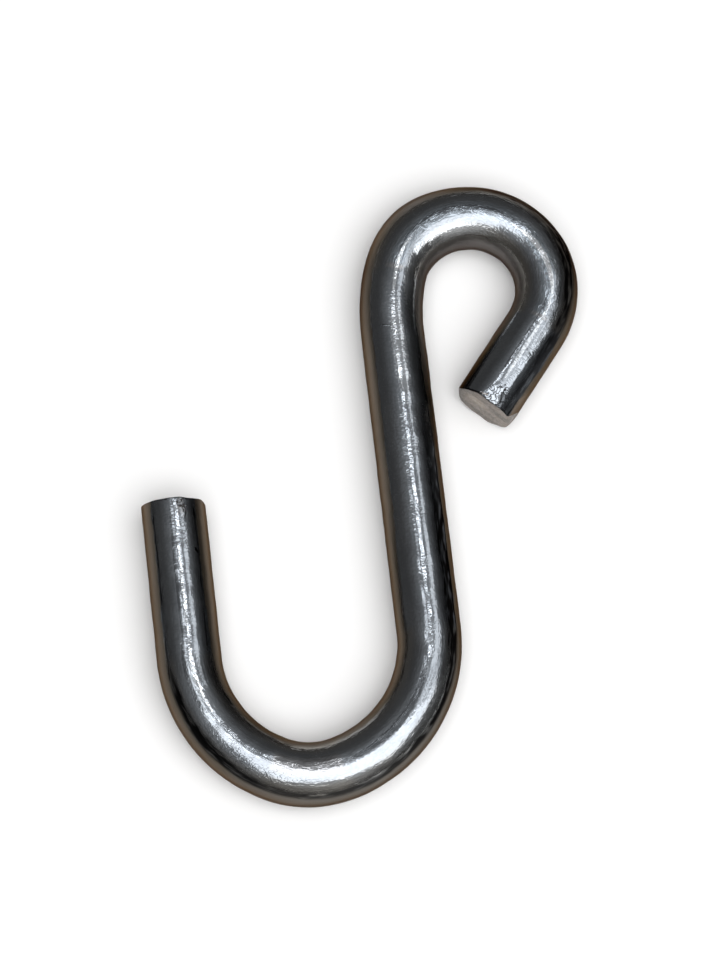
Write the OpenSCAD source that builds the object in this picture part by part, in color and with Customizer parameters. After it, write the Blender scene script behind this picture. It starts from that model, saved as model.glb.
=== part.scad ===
// S hook, bent cold from one length of round steel rod and sheared off at both ends.
// It lies flat, with its centreline in a level plane half a rod above the surface.
// The shank points along +Y, the open hook is at -Y and the nearly closed eye at +Y.
// The origin is on the surface, under the middle of the overall length and width.
// Lengths are in millimetres and turns in degrees.

/* [Rod] */
// Diameter of the rod on its straight runs
rod_d = 6; // [4:0.25:7]
// Share of its diameter that the rod loses in a bend of one diameter's radius
draw_down = 0.01; // [0.005:0.0025:0.03]

/* [Open hook] */
// Straight run at the free end of the open hook
tip_run = 14.9; // [5:0.1:30]
// Centreline radius of the two flanks of the open hook
flank_r = 12.5; // [10:0.1:18]
// Turn of the flank beside the free end
tip_flank_turn = 61.5; // [45:0.5:80]
// Turn of the flank beside the shank
shank_flank_turn = 75.5; // [45:0.5:85]
// Centreline radius of the tighter crown between the flanks
crown_r = 8.7; // [6:0.1:9.5]
// Whole turn of the open hook, 180 where its free end runs parallel to the shank
hook_turn = 180; // [165:1:190]

/* [Shank] */
// Straight run of the shank
shank_run = 29.1; // [15:0.1:80]

/* [Eye] */
// Centreline radius of the easy bend that leads from the shank into the eye
lead_in_r = 20.3; // [14:0.1:30]
// Turn of that easy bend
lead_in_turn = 15.6; // [8:0.1:20]
// Centreline radius of the eye
eye_r = 7.25; // [6.5:0.05:10]
// Turn of the eye
eye_turn = 203; // [185:0.5:208]
// Straight run at the end of the eye
eye_run = 9.2; // [5:0.1:10]

/* [Sheared ends] */
// Lean of the cut at the open hook's end, shorter on its rolled side
tip_lean = 2; // [0:0.5:6]
// Lean of the cut at the eye's end, which faces a little upwards
eye_lean = 2.5; // [0:0.5:6]
// How far the edge that the blade rolled over reaches back along the rod
roll_run = 0.6; // [0.3:0.05:0.7]
// How far that rolled edge reaches in from the side of the rod
roll_in = 0.8; // [0.75:0.05:1.4]
// Length of the flat that the shear pressed on top of the rod at the eye's end
flat_run = 2.2; // [1.2:0.1:4]
// Depth of that flat at the cut
flat_depth = 0.45; // [0.25:0.05:0.8]

/* [Hidden] */
steel = [0.40, 0.41, 0.43];
ring_facets = 96;
rod_facets = 48;

rod_r = rod_d / 2;
crown_turn = hook_turn - tip_flank_turn - shank_flank_turn;
tip_heading = 90 - hook_turn;

// Each stretch of the centreline is [radius, turn], with a turn to the left positive,
// or [0, length] where the rod runs straight.
tip_stretch = [0, tip_run];
eye_stretch = [0, eye_run];
middle_stretches = [
    [flank_r, tip_flank_turn],
    [crown_r, crown_turn],
    [flank_r, shank_flank_turn],
    [0, shank_run],
    [lead_in_r, -lead_in_turn],
    [eye_r, -eye_turn]
];
centreline = concat([tip_stretch], middle_stretches, [eye_stretch]);

// Radius of the rod on a stretch: straight runs keep their size and bends draw down.
function drawn_r(r) = r == 0 ? rod_r : rod_r * (1 - draw_down * rod_d / r);

// A place on the centreline is [x, y, heading].
function bend_centre(place, r, side) = [
    place[0] - side * r * sin(place[2]),
    place[1] + side * r * cos(place[2])
];
function after_run(place, run) = [
    place[0] + run * cos(place[2]),
    place[1] + run * sin(place[2]),
    place[2]
];
function after_turn(place, r, turn) =
    let (side = sign(turn), centre = bend_centre(place, r, side), heading = place[2] + turn)
    [centre[0] + side * r * sin(heading), centre[1] - side * r * cos(heading), heading];
function after_stretch(place, stretch) = stretch[0] == 0
    ? after_run(place, stretch[1])
    : after_turn(place, stretch[0], stretch[1]);
function places(path, place, i = 0) = i == len(path)
    ? [place]
    : concat([place], places(path, after_stretch(place, path[i]), i + 1));

// How far the rod reaches from the tip in one direction, given as an angle from +X:
// at the two ends of a stretch, or at the outside of a bend that faces that way.
function along(point, direction) = point[0] * cos(direction) + point[1] * sin(direction);
function reach_at(place, r, direction) =
    along(place, direction) + drawn_r(r) * abs(sin(direction - place[2]));
function turned_from(start, side, direction) = ((direction - start) * side % 360 + 360) % 360;
function faces(place, turn, direction) =
    turned_from(place[2] - 90 * sign(turn), sign(turn), direction) < abs(turn);
function reach_of(place, stretch, direction) =
    stretch[0] > 0 && faces(place, stretch[1], direction)
    ? along(bend_centre(place, stretch[0], sign(stretch[1])), direction)
        + stretch[0] + drawn_r(stretch[0])
    : max(
        reach_at(place, stretch[0], direction),
        reach_at(after_stretch(place, stretch), stretch[0], direction)
    );
stops = places(centreline, [0, 0, tip_heading]);
function reach(direction) = max([
    for (i = [0 : len(centreline) - 1]) reach_of(stops[i], centreline[i], direction)
]);
middle_x = (reach(0) - reach(180)) / 2;
middle_y = (reach(90) - reach(270)) / 2;

// The rolled edge is an arc that meets the cut smoothly and crosses the side of the rod.
roll_r = (pow(roll_in, 2) + pow(roll_run, 2)) / (2 * roll_run);
flat_slope = atan(flat_depth / flat_run);

// Every stretch starts at the origin and heads along +Y.
module straight_rod(run) {
    rotate([-90, 0, 0])
        cylinder(h = run, d = rod_d, $fn = rod_facets);
}

// A block that fills one side of the plane across the rod at the origin.
module ahead(r) {
    span = 2 * r + rod_d;
    translate([-span, 0, -rod_d])
        cube([2 * span, span, 2 * rod_d]);
}

module behind(r) {
    mirror([0, 1, 0])
        ahead(r);
}

module whole_ring(r, side) {
    translate([-side * r, 0, 0])
        rotate([0, 0, side > 0 ? 0 : 180])
        rotate_extrude($fn = ring_facets)
        translate([r, 0])
        circle(r = drawn_r(r), $fn = rod_facets);
}

module beyond_turn(r, turn) {
    side = sign(turn);
    translate([-side * r, 0, 0])
        rotate([0, 0, turn])
        translate([side * r, 0, 0])
        children();
}

// A bend is the part of a whole ring between the planes where it starts and ends.
module bend(r, turn) {
    side = sign(turn);
    if (abs(turn) < 180) {
        intersection() {
            whole_ring(r, side);
            ahead(r);
            beyond_turn(r, turn)
                behind(r);
        }
    } else {
        difference() {
            whole_ring(r, side);
            intersection() {
                behind(r);
                beyond_turn(r, turn)
                    ahead(r);
            }
        }
    }
}

module stretch_of_rod(stretch) {
    if (stretch[0] == 0)
        straight_rod(stretch[1]);
    else
        bend(stretch[0], stretch[1]);
}

module beyond(stretch) {
    if (stretch[0] == 0)
        translate([0, stretch[1], 0])
            children();
    else
        beyond_turn(stretch[0], stretch[1])
            children();
}

// Walks along the stretches and puts the children at the far end of the last one.
module rod_along(path, i = 0) {
    if (i == len(path)) {
        children();
    } else {
        stretch_of_rod(path[i]);
        beyond(path[i])
            rod_along(path, i + 1)
            children();
    }
}

// What the shear takes off beyond the cut, with the corner at +X that its blade rolls over.
module sheared_off() {
    ahead(rod_d);
    translate([rod_r - roll_in, -roll_r, -rod_d])
        difference() {
            cube([rod_d, rod_d, 2 * rod_d]);
            cylinder(h = 2 * rod_d, r = roll_r, $fn = rod_facets);
        }
}

// The flat that the shear presses on top of the rod, deepest at the cut.
module pressed_flat() {
    translate([-rod_d, -flat_run, rod_r])
        rotate([-flat_slope, 0, 0])
        cube([2 * rod_d, 2 * rod_d, rod_d]);
}

// The free end of the open hook, rolled over on the side that faces the shank.
module tip_end() {
    difference() {
        translate([0, -rod_r, 0])
            straight_rod(tip_run + rod_r);
        rotate([0, 0, 180 - tip_lean])
            sheared_off();
    }
}

// The end of the eye, rolled over on its outer side and pressed flat on top.
module eye_end() {
    difference() {
        straight_rod(eye_run + rod_r);
        translate([0, eye_run, 0]) {
            rotate([eye_lean, 0, 0])
                mirror([1, 0, 0])
                sheared_off();
            pressed_flat();
        }
    }
}

module s_hook() {
    color(steel)
        translate([-middle_x, -middle_y, rod_r])
        rotate([0, 0, -hook_turn]) {
            tip_end();
            beyond(tip_stretch)
                rod_along(middle_stretches)
                eye_end();
        }
}

s_hook();
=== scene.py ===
import math

import bpy
import numpy as np
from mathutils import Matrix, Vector


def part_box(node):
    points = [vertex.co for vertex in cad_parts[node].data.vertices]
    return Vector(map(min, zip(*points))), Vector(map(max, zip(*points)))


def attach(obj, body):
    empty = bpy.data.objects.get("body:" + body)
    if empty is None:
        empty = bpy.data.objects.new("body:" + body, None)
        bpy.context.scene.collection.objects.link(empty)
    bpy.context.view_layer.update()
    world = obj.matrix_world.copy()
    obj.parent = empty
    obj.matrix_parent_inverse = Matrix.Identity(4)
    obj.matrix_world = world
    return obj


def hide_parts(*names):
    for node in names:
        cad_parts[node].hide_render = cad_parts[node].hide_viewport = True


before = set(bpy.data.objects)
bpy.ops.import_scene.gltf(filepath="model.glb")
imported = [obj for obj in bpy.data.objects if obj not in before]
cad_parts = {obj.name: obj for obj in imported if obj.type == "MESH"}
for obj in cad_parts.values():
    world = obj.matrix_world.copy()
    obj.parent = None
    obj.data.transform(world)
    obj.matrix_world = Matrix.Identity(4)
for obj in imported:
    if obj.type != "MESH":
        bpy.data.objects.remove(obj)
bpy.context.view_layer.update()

mm = 0.001

camera = {
    "lookAt": (-1.033, 1.403, 3.0),  # mm
    "azimuth": -6.446,  # degrees
    "elevation": 73.0,
    "distance": 400.0,  # mm
    "lens": 160.75,
    "sensor": 36.0,
    "clip": (0.01, 20.0),  # m
}


def makeCamera(c):
    turn = math.radians(c["azimuth"])
    tilt = math.radians(c["elevation"])
    back = Vector((
        math.sin(turn) * math.cos(tilt),
        -math.cos(turn) * math.cos(tilt),
        math.sin(tilt),
    ))
    data = bpy.data.cameras.new("camera")
    data.lens = c["lens"]
    data.sensor_width = c["sensor"]
    data.clip_start, data.clip_end = c["clip"]
    eye = bpy.data.objects.new("camera", data)
    eye.location = (Vector(c["lookAt"]) + back * c["distance"]) * mm
    eye.rotation_mode = "QUATERNION"
    eye.rotation_quaternion = (-back).to_track_quat("-Z", "Y")
    bpy.context.scene.collection.objects.link(eye)
    bpy.context.scene.camera = eye


makeCamera(camera)
print("camera placed")

rod = {
    # centreline stretches from the open hook's free end to the eye's end: radius and turn to the
    # left, or 0 and a straight run, in mm and degrees
    "stretches": [
        (0, 14.9),
        (12.5, 61.5),
        (8.7, 43.0),
        (12.5, 75.5),
        (0, 29.1),
        (20.3, -15.6),
        (7.25, -203.0),
        (0, 9.2),
    ],
    "startHeading": -90.0,
    "drawDown": 0.01,  # share of the diameter lost in a bend of one diameter's radius
    "easing": 0.45,  # mm, spread of the bell by which one bend runs into the next
    "step": 0.01,  # mm between points of the centreline
    "rows": 800,
    "around": 116,  # points in a row
    "endSpacing": 0.12,  # spacing of the rows at a cut, as a share of that in the middle
    "endReach": 2.0,  # mm from a cut over which the rows spread out
    "spacingSteps": 4001,  # fine steps over which that spacing is summed
    "capRings": [0.97, 0.93, 0.86, 0.77, 0.66, 0.54, 0.41, 0.28, 0.14],  # shares of the rim's size
    "swell": (91.2, 2.2, 0.30),  # station, spread and height in mm of the fuller outer side
    # the long low waves that bending leaves in the skin
    "waves": 26,
    "waveTurns": 7,  # each has fewer whole turns than this around the rod
    "waveLengths": (2.0, 9.0),  # mm
    "waveHeight": 0.0022,  # mm, of each
    "seed": 7,
}

# each cut, in mm and degrees
tipCut = {
    "back": -0.17,  # how far it stands back
    "faceUp": 3.5,  # by which it faces upwards
    "rolls": [(1, 0.30, 0.50)],  # side that the blade rolled over, how far along and how far in
    "ledges": [(0.13, 1.15, 0.3)],  # height, place to the left and half width
    "edge": 0.045,  # radius of its rim
    "wave": 0.010,  # height of its low waves
}

eyeCut = {
    "back": 0.0,
    "faceUp": 1.2,
    "rolls": [(1, 1.25, 0.55), (-1, 0.35, 0.50)],
    "ledges": [(-0.08, 0.0, 0.3)],
    "edge": 0.05,
    "wave": 0.012,
}

# the flat that the shear pressed at the eye's end, in mm
pressedFlat = {
    "run": 2.1,
    "depth": 0.20,
    "turn": 12.0,  # degrees from the top towards the outer side
    "blend": 0.03,
    "fade": 1.6,  # in runs from the cut, where it has died away
    "wrinkle": 0.012,
}


def centreline(shape):
    # Curvature is constant along each stretch and eased with a bell curve where two meet.
    # Heading is the running sum of the curvature, and place is the running sum of the steps that
    # are taken along the heading.
    step = shape["step"]
    lengths = [b if a == 0 else a * math.radians(abs(b)) for a, b in shape["stretches"]]
    bends = [0.0 if a == 0 else math.copysign(1 / a, b) for a, b in shape["stretches"]]
    total = sum(lengths)
    s = np.arange(0, total + step / 2, step)
    stops = np.cumsum(lengths)
    which = np.minimum(np.searchsorted(stops, s, side="right"), len(bends) - 1)
    curvature = np.array(bends)[which]
    reach = int(4 * shape["easing"] / step)  # four spreads of the bell
    bell = np.exp(-0.5 * (np.arange(-reach, reach + 1) * step / shape["easing"]) ** 2)
    padded = np.pad(curvature, reach, mode="edge")
    curvature = np.convolve(padded, bell / bell.sum(), mode="valid")
    heading = math.radians(shape["startHeading"]) + np.r_[
        0, np.cumsum((curvature[1:] + curvature[:-1]) / 2 * step)
    ]
    x = np.r_[0, np.cumsum(np.cos((heading[1:] + heading[:-1]) / 2) * step)]
    y = np.r_[0, np.cumsum(np.sin((heading[1:] + heading[:-1]) / 2) * step)]
    return s, x, y, heading, curvature


def cutFace(cut, side, up):
    # How far the cut lies inside its square place, for a point of the section: a plane that faces
    # a little upwards, a parabola where the blade rolled one side over, eased ledges, and two
    # crossed sine waves 1 to 2 mm long.
    out = up * math.tan(math.radians(cut["faceUp"])) + cut["back"]
    for way, run, reach in cut["rolls"]:
        into = np.maximum(side * way - (rodRadius - reach), 0)
        out = out + run * (into / reach) ** 2
    for height, place, width in cut["ledges"]:
        out = out + height * 0.5 * (1 + np.tanh((side - place) / width))
    waves = np.sin(3.1 * side + 1.2 * up) + 0.7 * np.sin(5.3 * side - 2.3 * up + 1.0)
    return out + cut["wave"] * waves


def skinWaves(shape, s, angle):
    # A sum of long low waves that run along and around the rod, with whole turns around it.
    draw = np.random.default_rng(shape["seed"])
    height = np.zeros(np.broadcast(s, angle).shape)
    for turns, length, phase in zip(
        draw.integers(0, shape["waveTurns"], shape["waves"]),
        draw.uniform(*shape["waveLengths"], shape["waves"]),
        draw.uniform(0, 2 * math.pi, shape["waves"]),
    ):
        height += np.cos(turns * angle + 2 * math.pi * s / length + phase)
    return height * shape["waveHeight"]


low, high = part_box("s_hook")
rodRadius = (high.z - low.z) / 2 / mm
path = centreline(rod)


def drawnRadius(s):
    # The rod thins in a bend by a share that grows with the curvature.
    curvature = np.interp(s, path[0], np.abs(path[4]))
    return rodRadius * (1 - rod["drawDown"] * 2 * rodRadius * curvature)


def placeOnRod(s, side, up):
    # Carries a point of the section, side to the left of travel and up, to its station s, which
    # runs straight on beyond either end of the centreline.
    x = np.interp(s, path[0], path[1])
    y = np.interp(s, path[0], path[2])
    heading = np.interp(s, path[0], path[3])
    beyond = np.where(s < 0, s, np.maximum(s - path[0][-1], 0))
    x = x + beyond * np.cos(heading) - side * np.sin(heading)
    y = y + beyond * np.sin(heading) + side * np.cos(heading)
    return np.stack([x, y, up], -1)


def softLimit(value, limit, blend):
    # The smaller of the two, rounded by a hyperbola over a width of blend where they cross.
    return (value + limit - np.sqrt((value - limit) ** 2 + blend ** 2)) / 2


def rowShares(shape, total):
    # Shares of the rod's length at which its rows stand: closer towards the cuts, where their
    # spacing shrinks exponentially.
    share = np.linspace(0, 1, shape["spacingSteps"])
    nearest = total * np.minimum(share, 1 - share)
    spacing = 1 - (1 - shape["endSpacing"]) * np.exp(-nearest / shape["endReach"])
    count = np.r_[0, np.cumsum(2 / (spacing[1:] + spacing[:-1]))]
    return np.interp(np.linspace(0, count[-1], shape["rows"]), count, share)


def pressDown(flat, side, up, fromEye):
    # Moves what stands above a sloping plane at the eye's end down to it, blended at its edge,
    # with crossed sine waves about 1 mm long in the face.
    lean = math.radians(flat["turn"])
    out = up * math.cos(lean) + side * math.sin(lean)
    wrinkles = np.sin(7.0 * side + 2.5 * fromEye) * np.sin(6.5 * fromEye - 3.0 * side + 0.8)
    top = rodRadius - flat["depth"] * (1 - fromEye / flat["run"])
    top = top + flat["wrinkle"] * wrinkles
    pressed = np.minimum(softLimit(out, top, flat["blend"]) - out, 0)
    pressed = pressed * np.clip(flat["fade"] - fromEye / flat["run"], 0, 1)
    return side + pressed * math.sin(lean), up + pressed * math.cos(lean)


def rodSkin(shape):
    # For t along and angle around: a circle of the drawn radius, carried along the centreline
    # from one cut to the other, with low waves, a bell-shaped swell on the left side, a rim at each
    # cut that is a quarter of a circle, and the flat pressed into the eye's end.
    total = path[0][-1]
    angle = -math.pi / 2 + 2 * math.pi * np.arange(shape["around"]) / shape["around"]
    t = rowShares(shape, total)[:, None]
    angle = angle[None, :]
    side = rodRadius * np.cos(angle)
    up = rodRadius * np.sin(angle)
    start = cutFace(tipCut, side, up)
    end = total - cutFace(eyeCut, side, up)
    s = start + t * (end - start)
    fromTip = s - start
    fromEye = end - s
    fromCut = np.minimum(fromTip, fromEye)
    radius = drawnRadius(s) + skinWaves(shape, s, angle) * np.clip(fromCut, 0, 1)
    station, spread, rise = shape["swell"]
    outer = np.maximum(np.cos(angle), 0) ** 2
    radius = radius + rise * outer * np.exp(-0.5 * ((s - station) / spread) ** 2)
    for distance, cut in ((fromTip, tipCut), (fromEye, eyeCut)):
        near = np.clip(1 - distance / cut["edge"], 0, 1)
        radius = radius - cut["edge"] * (1 - np.sqrt(1 - near ** 2))
    side, up = pressDown(pressedFlat, radius * np.cos(angle), radius * np.sin(angle), fromEye)
    return s, side, up, fromCut


def cutCap(cut, rimSide, rimUp, rings, atEnd):
    # The rim's outline shrunk towards the middle, ring by ring, each ring laid on the cut.
    share = np.array(rings)[:, None]
    side = rimSide[None, :] * share
    up = rimUp[None, :] * share
    out = cutFace(cut, side, up)
    s = path[0][-1] - out if atEnd else out
    return s, side, up


def gridFaces(count, around, capRings):
    # Quads between the grid's rows and fans round its two poles, with the finish of each face: 0
    # on the skin and 1 on the cuts.
    a = np.arange(count * around).reshape(count, around)
    b = np.roll(a, -1, axis=1)
    quads = np.stack([a[:-1], a[1:], b[1:], b[:-1]], -1).reshape(-1, 4)
    fans = np.concatenate([
        np.stack([a[0], b[0], np.full(around, count * around)], -1),
        np.stack([b[-1], a[-1], np.full(around, count * around + 1)], -1),
    ])
    row = np.repeat(np.arange(count - 1), around)
    isCut = (row < capRings) | (row >= count - 1 - capRings)
    finishes = np.concatenate([isCut, np.ones(len(fans), bool)]).astype(np.int32)
    return quads, fans, finishes


def makeRod(shape):
    # The skin and its two caps as one grid of points, with a pole in the middle of each cut.
    # Every point also has its place across and along the rod, and its distance from a cut.
    s, side, up, fromCut = rodSkin(shape)
    rings = shape["capRings"]
    capTip = cutCap(tipCut, side[0], up[0], rings, False)
    capEye = cutCap(eyeCut, side[-1], up[-1], rings, True)
    s = np.concatenate([capTip[0][::-1], s, capEye[0]])
    side = np.concatenate([capTip[1][::-1], side, capEye[1]])
    up = np.concatenate([capTip[2][::-1], up, capEye[2]])
    onCap = np.zeros((len(rings), shape["around"]))
    fromCut = np.r_[np.concatenate([onCap, fromCut, onCap]).ravel(), 0, 0]
    poles = placeOnRod(
        np.array([cutFace(tipCut, 0.0, 0.0), path[0][-1] - cutFace(eyeCut, 0.0, 0.0)]),
        np.zeros(2),
        np.zeros(2),
    )
    points = np.concatenate([placeOnRod(s, side, up).reshape(-1, 3), poles])
    along = np.stack([side, up, s], -1).reshape(-1, 3)
    along = np.concatenate([along, [[0, 0, s[0].mean()], [0, 0, s[-1].mean()]]])
    return points, along, fromCut, gridFaces(*s.shape, len(rings))


def outlineMiddle():
    # Middle of the box that the rod's two side lines fill.
    s, x, y, heading = path[:4]
    r = drawnRadius(s)
    sides = [
        np.stack([x - k * r * np.sin(heading), y + k * r * np.cos(heading)], -1)
        for k in (-1, 1)
    ]
    corners = np.concatenate(sides)
    return (corners.min(0) + corners.max(0)) / 2


def meshFromArrays(name, points, quads, fans, finishes):
    mesh = bpy.data.meshes.new(name)
    mesh.vertices.add(len(points))
    mesh.vertices.foreach_set("co", points.astype(np.float32).ravel())
    corners = np.concatenate([quads.ravel(), fans.ravel()])
    mesh.loops.add(len(corners))
    mesh.loops.foreach_set("vertex_index", corners.astype(np.int32))
    sizes = np.concatenate([np.full(len(quads), 4), np.full(len(fans), 3)])
    starts = np.concatenate([[0], np.cumsum(sizes)[:-1]])
    mesh.polygons.add(len(sizes))
    mesh.polygons.foreach_set("loop_start", starts.astype(np.int32))
    mesh.polygons.foreach_set("loop_total", sizes.astype(np.int32))
    mesh.polygons.foreach_set("material_index", finishes)
    mesh.polygons.foreach_set("use_smooth", np.ones(len(sizes), bool))
    mesh.update(calc_edges=True)
    mesh.validate()
    return mesh


def writeLayer(mesh, name, values):
    # One number or one triple at each point of the mesh.
    kind, field = ("FLOAT", "value") if values.ndim == 1 else ("FLOAT_VECTOR", "vector")
    layer = mesh.attributes.new(name, kind, "POINT")
    layer.data.foreach_set(field, values.astype(np.float32).ravel())


points, along, fromCut, faces = makeRod(rod)
middle = outlineMiddle()
points[:, :2] += np.array([(low.x + high.x) / 2, (low.y + high.y) / 2]) / mm - middle
points[:, 2] += low.z / mm + rodRadius
hookMesh = meshFromArrays("hook_rod", points * mm, *faces)
writeLayer(hookMesh, "rodPlace", along)
writeLayer(hookMesh, "fromCut", fromCut)
hook = bpy.data.objects.new("hook_rod", hookMesh)
bpy.context.scene.collection.objects.link(hook)
print("rod made,", len(points), "points,", 2 * len(faces[0]) + len(faces[1]), "triangles")

steelSkin = {
    # colours of bare steel
    "colour": (0.281, 0.305, 0.333),
    "blotch": (0.246, 0.268, 0.295),
    "paintedCrownHighlight": (0.310, 0.318, 0.332),  # paler top of the open hook's crown, painted highlight
    "paintedTopTint": (0.268, 0.300, 0.335),  # bluer top of the tightest bend, painted highlight
    "paintedFlankWarmth": (0.300, 0.290, 0.272),  # warmer flanks of a bend, painted reflection
    "paintedHighlight": (0.58, 0.61, 0.64),  # painted highlight streaks
    "edgeTint": (0.27, 0.23, 0.205),
    # colours of the painted reflections on the flanks, black for a dark room and brown and pale for a
    # brown surface; the brown is also that of the dull marks
    "blackAndPaintedShade": (0.008, 0.008, 0.0084),  # near black: painted dark reflection beside the brown, and the colour of the black marks, dim marks and creases
    "brownDeep": (0.105, 0.092, 0.076),  # brown where it begins
    "brown": (0.190, 0.157, 0.128),
    "dull": (0.034, 0.0335, 0.033),
    "palePaintedReflection": (0.27, 0.26, 0.248),  # pale painted reflection where it begins
    "palePaintedReflectionEdge": (0.136, 0.127, 0.123),
    # from where to where an effect grows, in degrees from the top of the rod
    "crownEdge": (10.0, 23.0),
    "flankEdge": (20.0, 42.0),
    "under": (112.0, 150.0),  # where the painted reflections fade out
    # from where to where an effect grows, by how tight the bend is, 1 for the tightest
    "calmAt": (0.1, 0.8),
    "furrowsAt": (0.2, 0.9),
    "coreAt": (0.64, 0.78),
    "topAt": (0.86, 0.97),
    "flankAt": (0.2, 0.8),
    "bendCalm": 0.12,  # share of the chatter and creases left in a tight bend
    # edges of the painted brown and black reflections, in degrees
    "ragged": 14.0,  # range over which fine noise moves them
    "wander": 12.0,  # range over which broad noise moves them
    "brownFollows": 0.5,  # share of those moves that the brown's edge makes
    "blackEdge": (-4.0, 6.0),
    "brownEdge": (-1.5, 2.0),
    "softEdge": 5.0,  # by which a tight bend widens the brown's edge
    "toBrown": 26.0,  # over which the first tone passes into the next
    "paintedDarkLine": (2.4, 0.4, 3.2),  # thin black line of painted reflection: how far before the brown, its core and half width
    # black rim of each cut, in mm: how far it wanders, and where it fades from and to
    "rim": (0.5, 0.34, 0.42),
    "rimShare": 0.9,
    # levels of the noises between which an effect grows, and its least and greatest share
    "blotchAt": (0.38, 0.62),
    "livelyAt": (0.38, 0.60),
    "lively": (0.5, 1.2),
    "blackAt": (0.30, 0.55),
    "blackShare": (0.8, 1.0),
    "seamAt": (0.40, 0.52),
    "seamShare": (0.25, 1.0),
    "mottleAt": (0.40, 0.60),
    "roughness": (0.07, 0.14),  # polished and dull spots, finely mixed
    "bendRoughness": 0.03,
    "darkAndBrownRoughness": 0.34,
    # noises, in mm: size of a mark across and along the rod, and its depth where it has one
    "broad": {"Across": 0.9, "Along": 2.2},
    "fraying": {"Across": 0.16, "Along": 0.7},
    "mottle": {"Across": 0.14, "Along": 0.30},
    "draw": {"Across": 0.13, "Along": 1.1, "Depth": 0.0065},
    "stretch": {"Across": 0.13, "Along": 0.8, "Depth": 0.018},  # fine furrows of a tight bend
    "chatter": {"Across": 0.40, "Along": 0.15, "Depth": 0.0045},
    "dents": {"Across": 0.15, "Along": 0.21, "Depth": 0.0044},
    "chips": {"Across": 0.09, "Along": 0.13, "Depth": 0.0034},
    "creases": {"Across": 0.22, "Along": 0.17, "Width": 0.14, "Depth": 0.0024},
    "cracks": {"Across": 0.12, "Along": 0.30, "Width": 0.13, "Depth": 0.0040},  # of a tight bend
    "crumples": {"Across": 0.20, "Along": 0.22, "Width": 0.07, "Depth": 0.014},
    # share of painted shade in the creases
    "paintedCreaseShadeShare": 0.10,
}

shearedSteel = {
    "colour": (0.255, 0.222, 0.195),
    "pale": (0.35, 0.305, 0.26),
    "dim": (0.165, 0.148, 0.132),
    "roughness": (0.36, 0.55),
    "slant": 108.0,  # degrees by which the blade's streaks lean
    # the pale streak, in mm from the middle of the cut: its place, and where its side and its end
    # fade from and to, with the same for the dim edge
    "streakAt": -0.3,
    "streakHalf": (0.35, 1.1),
    "streakEnd": (-0.5, 0.9),
    "dimEdge": (-2.5, -1.3),
    "dimShare": 0.8,
    # levels of the noises between which an effect grows, and its least and greatest share
    "dimAt": (0.30, 0.60),
    "paleAt": (0.30, 0.55),
    "paleShare": (0.3, 1.0),
    "grainAt": (0.35, 0.65),
    "streaks": {"Across": 0.35, "Along": 2.2, "Depth": 0.012},
    "grain": {"Across": 0.12, "Along": 0.12, "Depth": 0.004},
}
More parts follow.
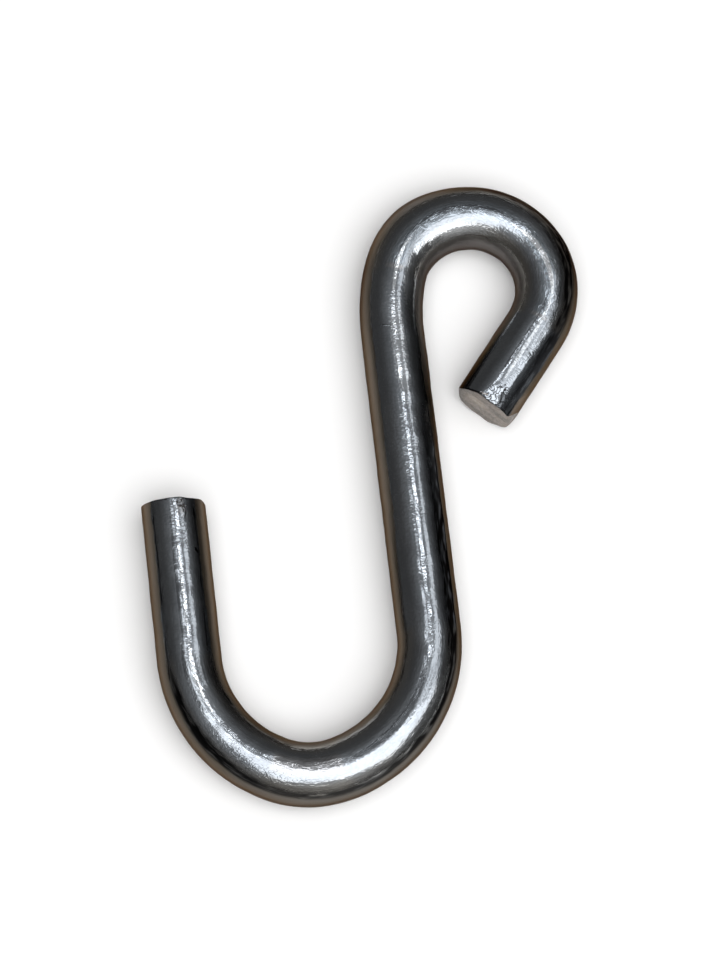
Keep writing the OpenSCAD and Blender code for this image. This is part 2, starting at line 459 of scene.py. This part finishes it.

# single marks on the unrolled skin, by station: mm to the left of the top line and station, half sizes,
# turn in degrees, how ragged, depth in mm, and how black, crumpled, dull, bright or dim; bright marks
# are painted highlight and dim marks painted shade
skinMarks = [
    {"at": (0.75, 0.95), "size": (0.48, 0.85), "ragged": 1.6, "crumple": 1.0, "dull": 0.2},
    {"at": (1.12, 1.60), "size": (0.07, 0.80), "turn": -14, "ragged": 1.6, "deep": 0.02, "black": 0.9},
    {"at": (0.75, 3.40), "size": (0.40, 1.80), "ragged": 1.6, "crumple": 0.35},
    {"at": (2.20, 4.60), "size": (0.08, 0.35), "turn": 25, "ragged": 1.8, "deep": 0.003, "black": 1.0},
    {"at": (1.82, 5.15), "size": (0.20, 0.42), "turn": 20, "ragged": 1.8, "deep": 0.006, "black": 1.0},
    {"at": (2.16, 5.95), "size": (0.08, 0.55), "ragged": 1.8, "deep": 0.003, "black": 1.0},
    {"at": (-0.33, 8.00), "size": (0.17, 6.50), "ragged": 0.9, "dim": 0.45},
    {"at": (0.14, 9.00), "size": (0.16, 5.00), "ragged": 0.9, "paintedHighlight": 0.4},
    {"at": (2.20, 9.00), "size": (0.08, 1.30), "turn": 3, "ragged": 2.0, "deep": 0.003, "black": 0.9},
    {"at": (1.93, 12.8), "size": (0.12, 2.10), "ragged": 2.0, "deep": 0.003, "black": 0.9},
    {"at": (-0.50, 17.5), "size": (0.20, 3.50), "ragged": 0.9, "dim": 0.45},
    {"at": (0.20, 17.5), "size": (0.26, 3.50), "ragged": 0.9, "paintedHighlight": 0.45},
    {"at": (-1.35, 25.5), "size": (0.75, 5.50), "ragged": 1.8, "crumple": 0.3},
    {"at": (-0.09, 40.5), "size": (0.38, 6.50), "turn": 1.4, "ragged": 0.9, "dim": 0.6},
    {"at": (-2.00, 43.5), "size": (0.45, 4.50), "ragged": 0.9, "paintedHighlight": 0.45},
    {"at": (-0.40, 78.0), "size": (0.70, 5.00), "ragged": 1.4, "paintedHighlight": 0.45},
    {"at": (0.85, 80.4), "size": (0.62, 0.05), "turn": -9, "ragged": 1.2, "deep": 0.008, "black": 0.7},
    {"at": (-1.55, 86.5), "size": (0.50, 4.00), "ragged": 0.9, "paintedHighlight": 0.5},
    {"at": (-0.20, 86.5), "size": (0.20, 3.20), "ragged": 1.0, "paintedHighlight": 0.7},
    {"at": (-2.10, 91.0), "size": (0.75, 8.50), "ragged": 0.9, "paintedHighlight": 0.45},
    {"at": (-0.50, 92.0), "size": (0.70, 4.50), "ragged": 0.9, "dim": 0.22},
    {"at": (0.05, 94.5), "size": (0.30, 6.50), "ragged": 0.9, "dim": 0.5},
    {"at": (0.00, 103.5), "size": (0.60, 4.00), "ragged": 1.8, "crumple": 0.45},
    {"at": (0.10, 105.0), "size": (0.27, 4.20), "turn": 6.6, "ragged": 0.9, "paintedHighlight": 1.0},
    {"at": (1.25, 110.5), "size": (0.20, 3.20), "ragged": 0.9, "dim": 0.35},
    {"at": (0.48, 110.8), "size": (0.15, 2.00), "ragged": 0.9, "paintedHighlight": 0.6},
    {"at": (0.87, 112.5), "size": (0.75, 5.50), "ragged": 1.8, "crumple": 0.3},
    {"at": (0.06, 113.2), "size": (0.17, 5.50), "turn": -1, "ragged": 0.9, "dim": 0.5},
    {"at": (0.55, 115.0), "size": (0.18, 3.20), "ragged": 0.9, "paintedHighlight": 0.5},
    {"at": (4.10, 119.6), "size": (0.95, 2.10), "ragged": 0.6, "dull": 0.9},
    {"at": (3.07, 119.7), "size": (0.07, 1.15), "ragged": 0.9, "black": 0.9},
    {"at": (1.30, 119.8), "size": (0.08, 0.80), "turn": 15, "ragged": 2.0, "deep": 0.03, "black": 0.9},
    {"at": (0.85, 119.9), "size": (1.15, 1.10), "ragged": 1.2, "crumple": 1.0},
    {"at": (1.55, 120.0), "size": (0.55, 0.80), "ragged": 1.8, "black": 0.7},
    {"at": (-0.30, 120.5), "size": (0.40, 0.10), "turn": 10, "ragged": 1.5, "deep": -0.02, "dull": 0.5},
]

# painted reflections on the two sides of the rod, brown and pale for a brown surface and black for a
# dark room, by station in mm from the free end: degrees from the top where the brown begins, how brown
# it is (up to 1, and on to 2 for a paler tone), degrees where the black begins, how black it is
paintedFlankReflections = {
    "right": [
        (0, 42, 1.0, 36, 0.5),
        (14, 44, 1.0, 34, 0.6),
        (18, 47, 1.0, 32, 1.0),
        (25, 58, 1.0, 37, 1.0),
        (31, 61, 1.3, 45, 0.9),
        (37, 65, 1.4, 49, 0.9),
        (43, 60, 1.3, 47, 1.0),
        (51, 58, 1.0, 31, 1.0),
        (61, 59, 1.0, 30, 1.0),
        (69, 57, 0.8, 31, 0.9),
        (78, 48, 1.6, 42, 0.3),
        (86, 47, 2.0, 48, 0.0),
        (92, 50, 2.0, 50, 0.0),
        (98, 52, 2.0, 50, 0.0),
        (104, 46, 2.0, 46, 0.0),
        (110, 42, 1.8, 48, 0.0),
        (115, 46, 1.2, 46, 0.2),
        (119, 50, 0.8, 46, 0.5),
    ],
    "left": [
        (0, 42, 1.0, 33, 0.5),
        (10, 42, 1.0, 32, 0.6),
        (18, 47, 0.9, 33, 0.75),
        (25, 46, 0.7, 27, 0.4),
        (31, 44, 1.3, 46, 0.0),
        (37, 44, 1.3, 46, 0.0),
        (43, 42, 1.0, 36, 0.1),
        (54, 50, 1.0, 47, 0.3),
        (61, 42, 0.9, 38, 0.1),
        (69, 42, 0.9, 38, 0.1),
        (78, 40, 0.9, 36, 0.0),
        (86, 40, 0.6, 38, 0.0),
        (92, 34, 1.6, 34, 0.0),
        (98, 40, 0.5, 30, 0.4),
        (104, 62, 0.5, 28, 1.0),
        (110, 58, 1.0, 34, 1.0),
        (115, 63, 1.0, 38, 0.9),
        (119, 60, 1.0, 38, 0.85),
    ],
}


def toneOnSkin(spread, side, up, s):
    # Angle from the top of the rod, less the angle at which each tone begins on that side, and
    # the share of each tone, in straight lines from one station to the next. The third values
    # are the angle itself and how tight the bend is, 1 for the tightest.
    fromTop = np.degrees(np.arctan2(np.abs(side), up))
    tones = []
    for name in ("right", "left"):
        rows = np.array(spread[name], float)
        tones.append([np.interp(s, rows[:, 0], rows[:, k]) for k in range(1, 5)])
    right, left = np.array(tones)
    brownAt, brown, blackAt, black = np.where(side < 0, right, left)
    tight = np.interp(s, path[0], np.abs(path[4])) / np.abs(path[4]).max()
    return (
        np.stack([fromTop - brownAt, fromTop - blackAt, fromTop], -1),
        np.stack([brown, black, tight], -1),
    )


flankAngles, flankShares = toneOnSkin(paintedFlankReflections, along[:, 0], along[:, 1], along[:, 2])
writeLayer(hookMesh, "flankAngles", flankAngles)
writeLayer(hookMesh, "flankShares", flankShares)


def addNode(tree, kind, inputs=None, **settings):
    node = tree.nodes.new(kind)
    for name, value in settings.items():
        setattr(node, name, value)
    for name, value in (inputs or {}).items():
        if isinstance(value, bpy.types.NodeSocket):
            tree.links.new(value, node.inputs[name])
        else:
            node.inputs[name].default_value = value
    return node


def maths(tree, operation, first, second=None, clamp=False):
    inputs = {0: first} if second is None else {0: first, 1: second}
    return addNode(tree, "ShaderNodeMath", inputs, operation=operation, use_clamp=clamp).outputs[0]


def joined(tree, operation, first, *others):
    # The operation carried over all the values in turn.
    for value in others:
        first = maths(tree, operation, first, value)
    return first


def vectorMaths(tree, operation, first, second, output="Vector"):
    node = addNode(tree, "ShaderNodeVectorMath", {0: first, 1: second}, operation=operation)
    return node.outputs[output]


def between(tree, value, low, high, atLow=0.0, atHigh=1.0):
    # Eased step of a value from one level to the other.
    node = addNode(tree, "ShaderNodeMapRange", {
        "Value": value,
        "From Min": low,
        "From Max": high,
        "To Min": atLow,
        "To Max": atHigh,
    }, interpolation_type="SMOOTHSTEP")
    return node.outputs["Result"]


def mixColours(tree, share, first, second):
    node = addNode(tree, "ShaderNodeMix", {"Factor": share}, data_type="RGBA")
    for name, colour in (("A", first), ("B", second)):
        socket = [k for k in node.inputs if k.name == name and k.type == "RGBA"][0]
        if isinstance(colour, bpy.types.NodeSocket):
            tree.links.new(colour, socket)
        else:
            socket.default_value = (*colour, 1)
    return [k for k in node.outputs if k.type == "RGBA"][0]


def newGroup(name, inputs, outputs):
    group = bpy.data.node_groups.new(name, "ShaderNodeTree")
    for label, kind in inputs.items():
        group.interface.new_socket(label, in_out="INPUT", socket_type=kind)
    for label, kind in outputs.items():
        group.interface.new_socket(label, in_out="OUTPUT", socket_type=kind)
    given = group.nodes.new("NodeGroupInput").outputs
    made = group.nodes.new("NodeGroupOutput").inputs
    return group, given, made


def stretchedNoise(group, given, roughness):
    # Soft noise whose marks are one size across the rod and another along it.
    sizes = addNode(group, "ShaderNodeCombineXYZ", {
        "X": given["Across"], "Y": given["Across"], "Z": given["Along"],
    }).outputs[0]
    return addNode(group, "ShaderNodeTexNoise", {
        "Vector": vectorMaths(group, "DIVIDE", given["Place"], sizes),
        "Scale": 0.5,  # about one mark to each size
        "Detail": 1.0,
        "Roughness": roughness,
    }).outputs["Fac"]


def makeStreaks():
    # Stretched soft noise as a height and as a mottle from 0 to 1.
    group, given, made = newGroup(
        "streaks",
        {"Place": "NodeSocketVector", "Across": "NodeSocketFloat", "Along": "NodeSocketFloat",
         "Depth": "NodeSocketFloat"},
        {"Height": "NodeSocketFloat", "Mottle": "NodeSocketFloat"},
    )
    noise = stretchedNoise(group, given, roughness=0.45)
    group.links.new(noise, made["Mottle"])
    group.links.new(maths(group, "MULTIPLY", noise, given["Depth"]), made["Height"])
    return group


def makeCreases():
    # Winding grooves along the middle level of a stretched noise, with their depth and a mask.
    group, given, made = newGroup(
        "creases",
        {"Place": "NodeSocketVector", "Across": "NodeSocketFloat", "Along": "NodeSocketFloat",
         "Width": "NodeSocketFloat", "Depth": "NodeSocketFloat"},
        {"Height": "NodeSocketFloat", "Line": "NodeSocketFloat"},
    )
    noise = stretchedNoise(group, given, roughness=0.4)
    away = maths(group, "ABSOLUTE", maths(group, "SUBTRACT", noise, 0.5))
    line = between(group, away, 0.0, given["Width"], 1.0, 0.0)
    sunk = maths(group, "MULTIPLY", given["Depth"], -1)
    group.links.new(maths(group, "MULTIPLY", line, sunk), made["Height"])
    group.links.new(line, made["Line"])
    return group


def makeMark():
    # An oval of the given half sizes on the unrolled skin, turned, with an edge frayed by noise
    # and fading from 0.8 to 1.15 of its size.
    group, given, made = newGroup(
        "mark",
        {"Place": "NodeSocketVector", "Unrolled": "NodeSocketVector", "At": "NodeSocketVector",
         "Size": "NodeSocketVector", "Turn": "NodeSocketFloat", "Ragged": "NodeSocketFloat"},
        {"Mask": "NodeSocketFloat"},
    )
    away = vectorMaths(group, "SUBTRACT", given["Unrolled"], given["At"])
    turned = addNode(group, "ShaderNodeVectorRotate", {
        "Vector": away, "Angle": given["Turn"],
    }, rotation_type="Z_AXIS").outputs[0]
    oval = vectorMaths(group, "DIVIDE", turned, given["Size"])
    reach = addNode(group, "ShaderNodeVectorMath", {0: oval}, operation="LENGTH").outputs["Value"]
    noise = addNode(group, "ShaderNodeTexNoise", {
        "Vector": given["Place"],
        "Scale": 5.0,  # cells to a mm
        "Detail": 2.0,
    }).outputs["Fac"]
    fray = maths(group, "MULTIPLY", maths(group, "SUBTRACT", noise, 0.5), given["Ragged"])
    frayed = maths(group, "ADD", reach, fray)
    group.links.new(between(group, frayed, 0.8, 1.15, 1.0, 0.0), made["Mask"])
    return group


streaks = makeStreaks()
creases = makeCreases()
mark = makeMark()


def placed(tree, group, place, values):
    # What a node group puts out at a place, with its other inputs given by name.
    inputs = {"Place": place, **values}
    return addNode(tree, "ShaderNodeGroup", inputs, node_tree=group).outputs


def newMaterial(name):
    material = bpy.data.materials.new(name)
    material.use_nodes = True
    tree = material.node_tree
    tree.nodes.clear()
    shader = addNode(tree, "ShaderNodeBsdfPrincipled")
    output = addNode(tree, "ShaderNodeOutputMaterial")
    tree.links.new(shader.outputs["BSDF"], output.inputs["Surface"])
    return material, tree, shader


def attribute(tree, name, output="Vector"):
    return addNode(tree, "ShaderNodeAttribute", attribute_name=name).outputs[output]


def addMarks(tree, place, unrolled, rows):
    # Depth and share of each effect of all the single marks together.
    totals = {"deep": 0.0, "black": 0.0, "crumple": 0.0, "dull": 0.0, "paintedHighlight": 0.0, "dim": 0.0}
    for row in rows:
        mask = placed(tree, mark, place, {
            "Unrolled": unrolled,
            "At": (*row["at"], 0),
            "Size": (*row["size"], 1),
            "Turn": math.radians(row.get("turn", 0)),
            "Ragged": row["ragged"],
        })["Mask"]
        for name in totals:
            if name in row:
                share = maths(tree, "MULTIPLY", mask, row[name])
                join = "ADD" if name == "deep" else "MAXIMUM"
                totals[name] = maths(tree, join, totals[name], share)
    return totals


def skinRelief(tree, look, place, tight, broad, marks):
    # Height of the skin's fine bumps in mm, and a mask of the dark lines in its creases, which are
    # painted shade. Chatter, dents and creases calm down in a tight bend, where furrows and cracks take
    # their place.
    layers = {}
    for name in ("draw", "stretch", "chatter", "dents", "chips"):
        layers[name] = placed(tree, streaks, place, look[name])["Height"]
    fine = placed(tree, creases, place, look["creases"])
    cracks = placed(tree, creases, place, look["cracks"])
    crumpled = placed(tree, creases, place, look["crumples"])
    calm = between(tree, tight, *look["calmAt"], 1.0, look["bendCalm"])
    lively = between(tree, broad, *look["livelyAt"], *look["lively"])
    rolled = joined(tree, "ADD", layers["chatter"], fine["Height"], layers["dents"])
    furrows = maths(tree, "MULTIPLY", layers["stretch"], between(tree, tight, *look["furrowsAt"]))
    height = joined(
        tree,
        "ADD",
        maths(tree, "MULTIPLY", rolled, maths(tree, "MULTIPLY", calm, lively)),
        maths(tree, "MULTIPLY", layers["chips"], lively),
        maths(tree, "MULTIPLY", cracks["Height"], tight),
        maths(tree, "ADD", layers["draw"], furrows),
        maths(tree, "MULTIPLY", crumpled["Height"], marks["crumple"]),
    )
    height = maths(tree, "SUBTRACT", height, marks["deep"])
    line = joined(
        tree,
        "ADD",
        maths(tree, "MULTIPLY", fine["Line"], calm),
        maths(tree, "MULTIPLY", cracks["Line"], tight),
    )
    # The dark lines of the creases and crumples are painted shade.
    line = maths(tree, "MULTIPLY", line, look["paintedCreaseShadeShare"])
    crumple = maths(tree, "MULTIPLY", crumpled["Line"], marks["crumple"])
    return height, maths(tree, "MAXIMUM", line, crumple)


def bareSteel(tree, look, fromTop, tight, broad, paintedCreaseShade, marks):
    # Steel in soft blotches, paler on the open hook's crown and bluer on top of the tightest bend as
    # painted highlight, warmer on a bend's flanks as painted reflection, with streaks of painted
    # highlight and painted shade, and dark creases of painted shade.
    crown = between(tree, fromTop, *look["crownEdge"], 1.0, 0.0)
    flank = between(tree, fromTop, *look["flankEdge"])
    blotch = between(tree, broad, *look["blotchAt"])
    colour = mixColours(tree, blotch, look["blotch"], look["colour"])
    # Paler and bluer tops of bends are painted highlight; warmer bend flanks are painted reflection.
    for share, tone in (
        (maths(tree, "MULTIPLY", crown, between(tree, tight, *look["coreAt"])), "paintedCrownHighlight"),
        (maths(tree, "MULTIPLY", crown, between(tree, tight, *look["topAt"])), "paintedTopTint"),
        (maths(tree, "MULTIPLY", flank, between(tree, tight, *look["flankAt"])), "paintedFlankWarmth"),
        # bright marks: painted highlight
        (marks["paintedHighlight"], "paintedHighlight"),
        # dim marks: painted shade
        (marks["dim"], "blackAndPaintedShade"),
        # creases: painted shade
        (paintedCreaseShade, "blackAndPaintedShade"),
    ):
        colour = mixColours(tree, share, colour, look[tone])
    return colour


def blackBandsAndPits(tree, look, blackAngle, brownAngle, blackShare, above, ragged, broad, marks):
    # How black the skin is: a frayed band on each flank and a thin line beside the brown, both painted
    # dark reflection, the rim of each cut, and the single marks.
    band = joined(
        tree,
        "MULTIPLY",
        between(tree, blackAngle, *look["blackEdge"]),
        blackShare,
        between(tree, ragged, *look["blackAt"], *look["blackShare"]),
    )
    before, core, half = look["paintedDarkLine"]
    paintedDarkLine = maths(tree, "ABSOLUTE", maths(tree, "ADD", brownAngle, before))
    paintedDarkLine = joined(
        tree,
        "MULTIPLY",
        between(tree, paintedDarkLine, core, half, 1.0, 0.0),
        between(tree, broad, *look["seamAt"], *look["seamShare"]),
        maths(tree, "MULTIPLY", blackShare, 2.0, True),
    )
    wander, inner, outer = look["rim"]
    fromCut = attribute(tree, "fromCut", "Fac")
    rim = maths(tree, "ADD", fromCut, maths(tree, "MULTIPLY", ragged, wander))
    rim = between(tree, rim, inner, outer, look["rimShare"], 0.0)
    flanks = maths(tree, "MULTIPLY", maths(tree, "MAXIMUM", band, paintedDarkLine), above)
    return joined(tree, "MAXIMUM", flanks, rim, marks["black"])


def paintedFlankTone(tree, look, brownAngle, brownShare):
    # Painted reflection on the flanks: dull to brown as the share goes to 1, and on to the paler tone
    # as it goes to 2.
    toward = between(tree, brownAngle, 0.0, look["toBrown"])
    warm = mixColours(tree, toward, look["brownDeep"], look["brown"])
    warm = mixColours(tree, brownShare, look["dull"], warm)
    palePaintedReflection = mixColours(tree, toward, look["palePaintedReflection"], look["palePaintedReflectionEdge"])
    return mixColours(tree, maths(tree, "SUBTRACT", brownShare, 1.0, True), warm, palePaintedReflection)


def makeSteelSkin(look, rows):
    # Drawn steel with painted black and brown reflections on its flanks, and the single marks.
    material, tree, shader = newMaterial("drawn_steel")
    place = attribute(tree, "rodPlace")
    parts = addNode(tree, "ShaderNodeSeparateXYZ", {0: place}).outputs
    arc = maths(tree, "MULTIPLY", maths(tree, "ARCTAN2", parts["X"], parts["Y"]), rodRadius)
    unrolled = addNode(tree, "ShaderNodeCombineXYZ", {"X": arc, "Y": parts["Z"]}).outputs[0]
    angles = addNode(tree, "ShaderNodeSeparateXYZ", {0: attribute(tree, "flankAngles")}).outputs
    shares = addNode(tree, "ShaderNodeSeparateXYZ", {0: attribute(tree, "flankShares")}).outputs
    fromTop = angles["Z"]
    tight = shares["Z"]
    marks = addMarks(tree, place, unrolled, rows)
    broad = placed(tree, streaks, place, look["broad"])["Mottle"]
    ragged = placed(tree, streaks, place, look["fraying"])["Mottle"]

    height, paintedCreaseShade = skinRelief(tree, look, place, tight, broad, marks)
    bump = addNode(tree, "ShaderNodeBump", {"Height": height, "Distance": mm, "Strength": 1.0})
    tree.links.new(bump.outputs["Normal"], shader.inputs["Normal"])

    wander = maths(
        tree,
        "ADD",
        maths(tree, "MULTIPLY", maths(tree, "SUBTRACT", ragged, 0.5), look["ragged"]),
        maths(tree, "MULTIPLY", maths(tree, "SUBTRACT", broad, 0.5), look["wander"]),
    )
    # The black band and the thin line on the flanks are painted dark reflection.
    blackAngle = maths(tree, "ADD", angles["Y"], wander)
    brownWander = maths(tree, "MULTIPLY", wander, look["brownFollows"])
    brownAngle = maths(tree, "ADD", angles["X"], brownWander)
    above = between(tree, fromTop, *look["under"], 1.0, 0.0)
    black = blackBandsAndPits(tree, look, blackAngle, brownAngle, shares["Y"], above, ragged, broad, marks)
    soft = maths(tree, "MULTIPLY", tight, look["softEdge"])
    begins = maths(tree, "SUBTRACT", look["brownEdge"][0], soft)
    ends = maths(tree, "ADD", soft, look["brownEdge"][1])
    # The brown band on the flanks is painted reflection of a brown surface.
    brown = maths(tree, "MULTIPLY", between(tree, brownAngle, begins, ends), above)

    colour = bareSteel(tree, look, fromTop, tight, broad, paintedCreaseShade, marks)
    # Near black here is painted dark reflection on the flanks, with the rims of the cuts and the black
    # pits.
    colour = mixColours(tree, black, colour, look["blackAndPaintedShade"])
    colour = mixColours(tree, brown, colour, paintedFlankTone(tree, look, brownAngle, shares["X"]))
    colour = mixColours(tree, marks["dull"], colour, look["brown"])
    tree.links.new(colour, shader.inputs["Base Color"])

    mottle = placed(tree, streaks, place, look["mottle"])["Mottle"]
    rough = between(tree, mottle, *look["mottleAt"], *look["roughness"])
    rough = maths(tree, "ADD", rough, maths(tree, "MULTIPLY", tight, look["bendRoughness"]))
    rough = addNode(tree, "ShaderNodeMix", {
        "Factor": joined(tree, "MAXIMUM", brown, black, marks["dull"]),
        "A": rough,
        "B": look["darkAndBrownRoughness"],
    }).outputs["Result"]
    tree.links.new(rough, shader.inputs["Roughness"])
    shader.inputs["Metallic"].default_value = 1
    shader.inputs["Specular Tint"].default_value = (*look["edgeTint"], 1)
    return material


def makeShearedSteel(look):
    # A matt torn face with broad pale and dim streaks along the blade's travel and a fine grain.
    material, tree, shader = newMaterial("sheared_steel")
    place = attribute(tree, "rodPlace")
    turned = addNode(tree, "ShaderNodeVectorRotate", {
        "Vector": place, "Angle": math.radians(look["slant"]),
    }, rotation_type="Z_AXIS").outputs[0]
    parts = addNode(tree, "ShaderNodeSeparateXYZ", {0: turned}).outputs
    along = addNode(tree, "ShaderNodeCombineXYZ", {
        "X": parts["X"], "Y": parts["Z"], "Z": parts["Y"],
    }).outputs[0]
    lines = placed(tree, streaks, along, look["streaks"])
    grain = placed(tree, streaks, place, look["grain"])
    height = maths(tree, "ADD", lines["Height"], grain["Height"])
    bump = addNode(tree, "ShaderNodeBump", {"Height": height, "Distance": mm, "Strength": 1.0})
    tree.links.new(bump.outputs["Normal"], shader.inputs["Normal"])
    middle = maths(tree, "ABSOLUTE", maths(tree, "SUBTRACT", parts["X"], look["streakAt"]))
    middle = between(tree, middle, *look["streakHalf"], 1.0, 0.0)
    middle = maths(tree, "MULTIPLY", middle, between(tree, parts["Y"], *look["streakEnd"], 1.0, 0.0))
    broken = between(tree, lines["Mottle"], *look["paleAt"], *look["paleShare"])
    streak = maths(tree, "MULTIPLY", middle, broken)
    clear = between(tree, lines["Mottle"], *look["dimAt"])
    colour = mixColours(tree, clear, look["dim"], look["colour"])
    colour = mixColours(tree, streak, colour, look["pale"])
    edge = between(tree, parts["Y"], *look["dimEdge"], look["dimShare"], 0.0)
    colour = mixColours(tree, edge, colour, look["dim"])
    tree.links.new(colour, shader.inputs["Base Color"])
    rough = between(tree, grain["Mottle"], *look["grainAt"], *look["roughness"])
    tree.links.new(rough, shader.inputs["Roughness"])
    shader.inputs["Metallic"].default_value = 1
    return material


hookMesh.materials.append(makeSteelSkin(steelSkin, skinMarks))
hookMesh.materials.append(makeShearedSteel(shearedSteel))
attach(hook, "root")
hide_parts("s_hook")
print("finishes made")

studio = {
    "floorColour": (0.925, 0.925, 0.925),
    "floorRoughness": 0.9,
    "floorGloss": 0.1,
    "floorSize": 12.0,  # m
    "floorDrop": 0.00002,  # m, so that the hook doesn't share its plane
    "room": (0.122, 0.117, 0.112),
    "glow": (1.18, 1.18, 1.18),
    "glowFrom": (0.29, -0.43, 1.0),  # to the right, away and up
    "glowTightness": 3.1,
    "darkAt": (0.39, 0.9),  # how far to the right the room begins and ends falling dark
    "darkShare": 0.3,
}

# lamps hang level over the hook: metres to the right and away, size, turn in degrees, radiance
lamps = {
    "main": {"at": (0.74, -0.93), "size": (3.1, 1.9), "turn": -7.0, "radiance": 2.7},
    "strip": {"at": (0.21, 0.61), "size": (0.42, 0.08), "turn": 9.0, "radiance": 7.4},
    "wing": {"at": (1.02, 0.52), "size": (0.56, 0.90), "turn": -38.0, "radiance": 1.55},
    "step": {"at": (-0.21, 0.19), "size": (0.32, 0.15), "turn": 1.0, "radiance": 5.4},
    "side": {"at": (1.6, 0.1), "size": (0.7, 0.7), "turn": -3.0, "radiance": 1.3},
    "bridge": {"at": (-0.34, 0.40), "size": (0.34, 0.18), "turn": 20.0, "radiance": 2.6},
}
lampHeight = 2.0  # m
sceneTurn = math.radians(camera["azimuth"])
across = Vector((math.cos(sceneTurn), math.sin(sceneTurn), 0))
away = Vector((-math.sin(sceneTurn), math.cos(sceneTurn), 0))


def makeFloor(s):
    half = s["floorSize"] / 2
    mesh = bpy.data.meshes.new("floor")
    mesh.from_pydata(
        [(-half, -half, 0), (half, -half, 0), (half, half, 0), (-half, half, 0)],
        [],
        [(0, 1, 2, 3)],
    )
    floor = bpy.data.objects.new("floor", mesh)
    floor.location.z = -s["floorDrop"]
    bpy.context.scene.collection.objects.link(floor)
    material, tree, shader = newMaterial("pale_floor")
    shader.inputs["Base Color"].default_value = (*s["floorColour"], 1)
    shader.inputs["Roughness"].default_value = s["floorRoughness"]
    shader.inputs["Specular IOR Level"].default_value = s["floorGloss"]
    mesh.materials.append(material)


def inScene(right, beyond, up):
    # A direction or place given as the camera sees it: to the right, away and up.
    return across * right + away * beyond + Vector((0, 0, up))


def makeLamp(name, lamp):
    data = bpy.data.lights.new(name, "AREA")
    data.shape = "RECTANGLE"
    data.size, data.size_y = lamp["size"]
    data.energy = lamp["radiance"] * math.pi * lamp["size"][0] * lamp["size"][1]
    holder = bpy.data.objects.new(name, data)
    holder.location = inScene(*lamp["at"], lampHeight)
    holder.rotation_euler = (0, 0, sceneTurn + math.radians(lamp["turn"]))
    bpy.context.scene.collection.objects.link(holder)


def makeRoom(s):
    # A dim room: a soft glow about one direction overhead, and one side that falls dark.
    room = bpy.data.worlds.new("room")
    room.use_nodes = True
    tree = room.node_tree
    toward = addNode(tree, "ShaderNodeTexCoord").outputs["Generated"]
    glowWay = inScene(*s["glowFrom"]).normalized()
    facing = vectorMaths(tree, "DOT_PRODUCT", toward, glowWay, "Value")
    glow = maths(tree, "POWER", maths(tree, "MAXIMUM", facing, 0), s["glowTightness"])
    sideways = vectorMaths(tree, "DOT_PRODUCT", toward, across, "Value")
    background = tree.nodes["Background"]
    tree.links.new(mixColours(tree, glow, s["room"], s["glow"]), background.inputs["Color"])
    dark = between(tree, sideways, *s["darkAt"], 1.0, s["darkShare"])
    tree.links.new(dark, background.inputs["Strength"])
    bpy.context.scene.world = room


makeFloor(studio)
for name, lamp in lamps.items():
    makeLamp(name, lamp)
makeRoom(studio)
bpy.context.scene.view_settings.view_transform = "Standard"
print("studio lit")
